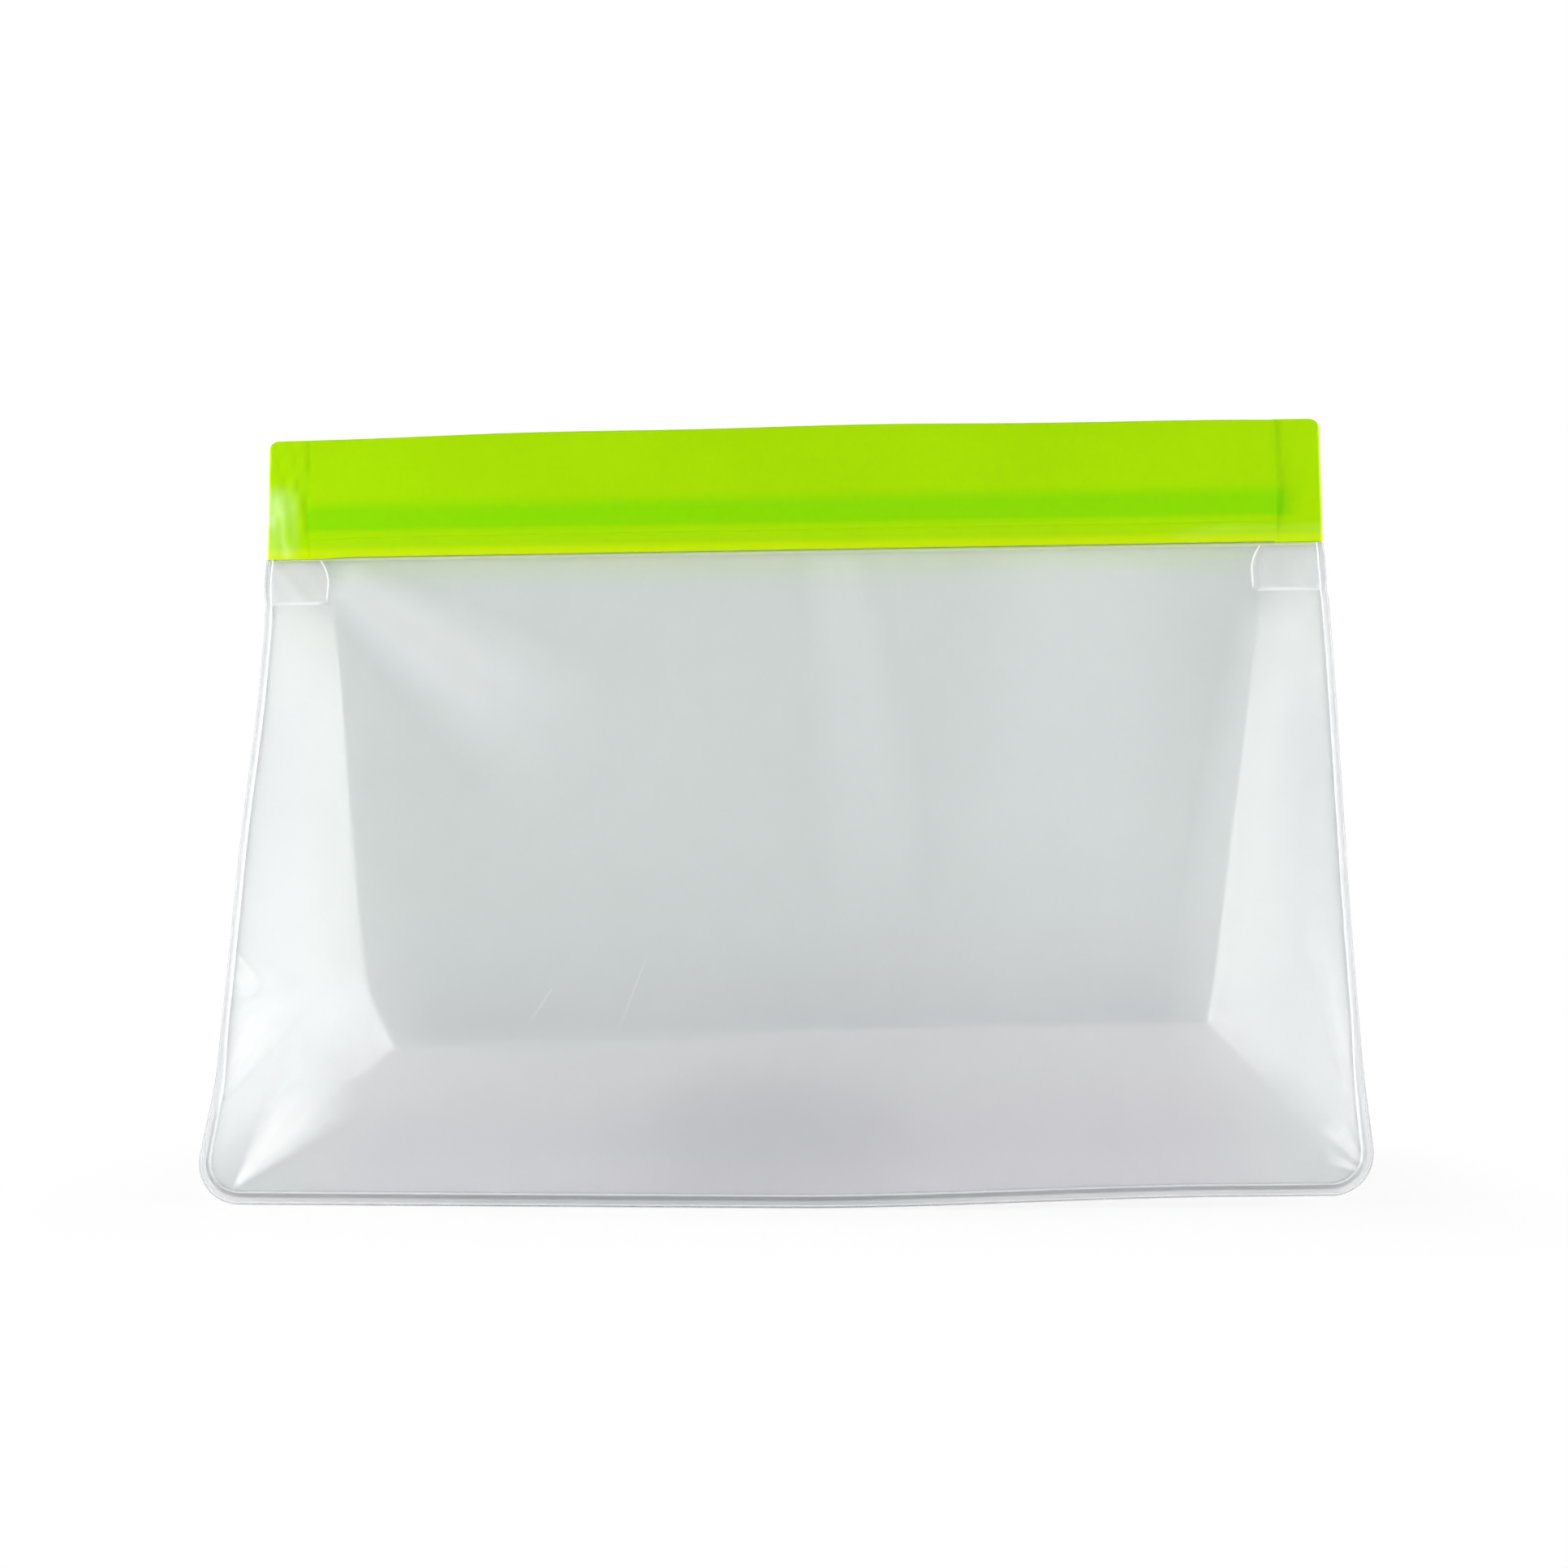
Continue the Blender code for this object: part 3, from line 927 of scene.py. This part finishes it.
class BAG_OT_zip_strips(Operator):
    """Builds the two zip strips with their press tracks"""

    bl_idname = "bag.zip_strips"
    bl_label = "Zip strips"

    def execute(self, context):
        sizes = context.scene.bag_sizes
        material = zip_material("lime_strip", context.scene.bag_colours)
        inner = 2.0 * MM - sizes.strip
        # Half heights of a track's neck and head, and how far its tip crosses the middle
        neck, head, tip = 0.42 * MM, 0.55 * MM, -0.7 * MM
        # The dressed strip stands a little taller than its solid
        tall = 1.01
        # Outer face of a strip: height and distance from the middle, in millimetres
        face = [
            (0.0, 1.5), (0.2, 1.62), (2.6, 1.72), (3.0, 1.92), (3.6, 1.95), (3.9, 1.84),
            (4.2, 1.95), (5.2, 1.98), (6.4, 2.05), (8.0, 2.2), (10.8, 2.25), (13.4, 2.18),
            (15.5, 2.04), (19.5, 1.98), (23.4, 1.95), (23.85, 1.85), (24.0, 1.65),
        ]
        for name, facing, body, tracks in (
            ("front", -1, "front_lip", (9.15, 12.45)),
            ("back", 1, "back_wall", (7.5, 10.8, 14.1)),
        ):
            section = [(y * MM, up * MM * tall) for up, y in face]
            top = STRIP_HEIGHT * tall
            section += [(inner + 0.15 * MM, top), (inner, top - 0.4 * MM)]
            for centre in reversed(tracks):
                up = centre * MM
                section += [(inner, up + neck), (tip + 0.6 * MM, up + neck), (tip + 0.35 * MM, up + head)]
                section += [(tip, up + neck * 0.5), (tip, up - neck * 0.5)]
                section += [(tip + 0.35 * MM, up - head), (tip + 0.6 * MM, up - neck), (inner, up - neck)]
            section += [(inner, 3.2 * MM), (inner + 0.18 * MM, 2.5 * MM), (inner + 0.18 * MM, 0.0)]

            def place(share, side):
                y, up = section[side]
                x = lerp(-STRIP_HALF - 0.2 * MM, STRIP_HALF + 0.2 * MM + sizes.zip_reach, share)
                dip = 0.35 * MM * (1 - smooth(x, -STRIP_HALF, 9 * MM - STRIP_HALF))
                dip *= 1 - up / STRIP_HEIGHT
                sway = 0.12 * sin(x * 90) + 0.75 * (1 - (x / STRIP_HALF) ** 2)
                sway = sway * MM * up / STRIP_HEIGHT
                return Vector((x, facing * y, FOLD_Z + lerp(1.0, 1.1, share) * MM + up + sway - dip))

            obj = tube(f"{name}_zip", len(section), (12, 10), place)
            outward(obj)
            shaded(obj, 35)
            dress(obj, material, [f"{name}_zip_strip"])
            if name == "front":
                keep_share(obj, "lip_share", [lip_share(v.co.x) for v in obj.data.vertices])
                bend_by(obj, "lip_share")
            else:
                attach(obj, body)
        return {"FINISHED"}


class BAG_OT_end_welds(Operator):
    """Builds the crushed and fused ends of the zip"""

    bl_idname = "bag.end_welds"
    bl_label = "End welds"

    def execute(self, context):
        material = zip_material("lime_crushed", context.scene.bag_colours, True)
        sides = 56
        tall, top_radius, foot_radius = 24.5 * MM, 2.3 * MM, 0.3 * MM
        start = STRIP_HALF - 0.1 * MM
        for name, hand in (("left", -1), ("right", 1)):
            reach = context.scene.bag_sizes.zip_reach if hand > 0 else 0.0
            # The left end sits a little lower and is more wrinkled
            base = FOLD_Z + (0.65 if hand < 0 else 1.0) * MM
            wrinkle = 1.0 if hand < 0 else 0.3

            def place(share, side):
                x = lerp(start, ZIP_HALF, 1 - (1 - share) ** 1.6)
                past = x - ZIP_HALF
                high = tall - top_radius + sqrt(max(top_radius**2 - max(past + top_radius, 0) ** 2, 0))
                low = foot_radius - sqrt(max(foot_radius**2 - max(past + foot_radius, 0) ** 2, 0))
                turn = tau * side / sides
                level = max(min(cos(turn) * 1.06, 1), -1)
                up = lerp(low, high, (level + 1) / 2)
                thick = lerp(1.6 * MM, 1.4 * MM, share) * min(1, abs(sin(turn)) * 6 + 0.35)
                thick *= sqrt(max(1 - max(past / (0.6 * MM) + 1, 0) ** 2 * 0.6, 0))
                thick += wrinkle * 0.06 * MM * sin(x * 1900 + up * 260) * sin(up * 700) * abs(sin(turn))
                return Vector((hand * (x + reach), -thick if turn < pi else thick, base + up))

            obj = tube(f"{name}_zip_end", sides, (6, 5), place)
            outward(obj)
            shaded(obj, 50)
            dress(obj, material, [f"{name}_end_weld"])
            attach(obj, "back_wall")
        return {"FINISHED"}


class BAG_OT_stage(Operator):
    """Sets up the white floor, the soft lamps and the camera"""

    bl_idname = "bag.stage"
    bl_label = "Stage"

    def execute(self, context):
        scene = context.scene
        scene.view_settings.view_transform = "Standard"
        fresh()
        bpy.ops.mesh.primitive_plane_add(size=6, location=(0, 0, -0.15 * MM))
        floor = bpy.context.object
        floor.name = "floor"
        material, start, place = new_material("white_floor")
        x, y, _ = split(place)
        beside, before = (x.size() - 0.105).most(0.0), (y.size() - 0.02).most(0.0)
        away = (beside * beside + before * before).math("SQRT").eased(0.0, 0.045)
        plain = shader(start, base_color=(0.86, 0.86, 0.86, 1.0), roughness=0.9)
        white = start.node("ShaderNodeEmission", inputs={0: (1, 1, 1, 1), 1: 1.0})
        output(mixed(seen(start) * (away * 0.16 + 0.84), plain, white))
        floor.data.materials.append(material)
        self.sky(scene)
        for name, place, aim, size, power in (
            ("left_softbox", (-0.75, -0.12, 0.12), (0, 0, 0.06), 0.5, 14.2),
            ("right_softbox", (0.75, -0.12, 0.12), (0, 0, 0.06), 0.5, 11.0),
            ("front_softbox", (0.0, -0.5, 0.8), (0, 0, 0.06), 0.8, 0.7),
            ("back_softbox", (0.0, 0.8, 0.35), (0, 0, 0.06), 0.6, 0.3),
        ):
            bpy.ops.object.light_add(type="AREA", location=place)
            lamp = bpy.context.object
            lamp.name = name
            lamp.data.size = size
            lamp.data.energy = power
            lamp.visible_glossy = False
            lamp.rotation_mode = "QUATERNION"
            lamp.rotation_quaternion = (Vector(aim) - Vector(place)).to_track_quat("-Z", "Y")
        self.camera(scene)
        return {"FINISHED"}

    def sky(self, scene):
        """White to look at, and dim as a light."""
        world = bpy.data.worlds.new("white_surround")
        world.use_nodes = True
        world.node_tree.nodes.clear()
        start = Value(world.node_tree)
        light = start.node("ShaderNodeBackground", inputs={0: (1, 1, 1, 1), 1: 0.2})
        white = start.node("ShaderNodeBackground", inputs={0: (1, 1, 1, 1), 1: 1.0})
        start.node("ShaderNodeOutputWorld", inputs={"Surface": mixed(seen(start), light, white)})
        scene.world = world

    def camera(self, scene):
        """Looks slightly up at the front of the bag, from a little to its right."""
        bpy.ops.object.camera_add()
        camera = bpy.context.object
        yaw, pitch, roll = 0.048, 0.0698, -0.0052
        ahead = Vector((-sin(yaw) * cos(pitch), cos(yaw) * cos(pitch), sin(pitch)))
        level = Vector((cos(yaw), sin(yaw), 0))
        above = level.cross(ahead)
        right = level * cos(roll) + above * sin(roll)
        up = above * cos(roll) - level * sin(roll)
        turn = Matrix((right, up, -ahead)).transposed().to_4x4()
        camera.matrix_world = Matrix.Translation((13.39 * MM, -280.38 * MM, 57.67 * MM)) @ turn
        camera.data.lens = 32.59
        camera.data.sensor_width = 36
        camera.data.clip_start = 0.01
        scene.camera = camera


class BAG_PT_panel(Panel):
    """Lists the sizes, the colours and the steps of the bag"""

    bl_idname = "BAG_PT_panel"
    bl_label = "Film Bag"
    bl_space_type = "VIEW_3D"
    bl_region_type = "UI"
    bl_category = "Film Bag"

    def draw(self, context):
        for group in (context.scene.bag_sizes, context.scene.bag_colours):
            box = self.layout.box()
            for name in group.__annotations__:
                box.prop(group, name)
        for step in STEPS:
            self.layout.operator(step.bl_idname)


STEPS = (
    BAG_OT_back_film,
    BAG_OT_gusset_film,
    BAG_OT_front_film,
    BAG_OT_weld_rims,
    BAG_OT_gusset_patches,
    BAG_OT_zip_strips,
    BAG_OT_end_welds,
    BAG_OT_stage,
)
CLASSES = (BagSizes, BagColours, *STEPS, BAG_PT_panel)


def register():
    for cls in CLASSES:
        bpy.utils.register_class(cls)
    bpy.types.Scene.bag_sizes = PointerProperty(type=BagSizes)
    bpy.types.Scene.bag_colours = PointerProperty(type=BagColours)


def unregister():
    del bpy.types.Scene.bag_colours
    del bpy.types.Scene.bag_sizes
    for cls in reversed(CLASSES):
        bpy.utils.unregister_class(cls)


def main():
    register()
    for step in STEPS:
        group, name = step.bl_idname.split(".")
        getattr(getattr(bpy.ops, group), name)()


if __name__ == "__main__":
    main()
